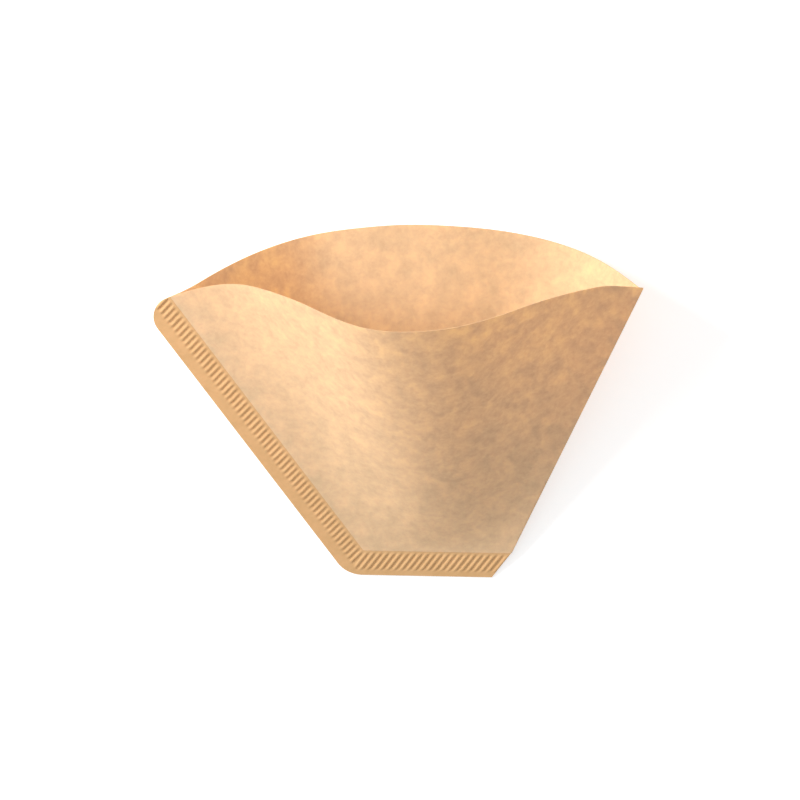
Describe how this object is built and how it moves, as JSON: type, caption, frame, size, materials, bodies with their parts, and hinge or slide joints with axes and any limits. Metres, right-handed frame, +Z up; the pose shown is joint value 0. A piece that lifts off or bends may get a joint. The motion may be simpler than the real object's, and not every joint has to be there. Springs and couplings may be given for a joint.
{
  "type": "paper coffee filter",
  "caption": "Wedge-shaped paper coffee filter, folded along one side, crimped along the other side and the bottom, with its mouth open.",
  "frame": {"origin": "on the surface it lies on, under the middle of its outer box", "axes": "+X along the bottom seam from the crimped side towards the folded side, +Y from the bottom towards the mouth, +Z up from the rear wall to the front wall"},
  "size_m": [0.1464, 0.1114, 0.0634],
  "materials": {
    "filter_paper": "matte"
  },
  "bodies": {
    "root": {"filter_paper": "filter_paper"}
  },
  "joints": []
}
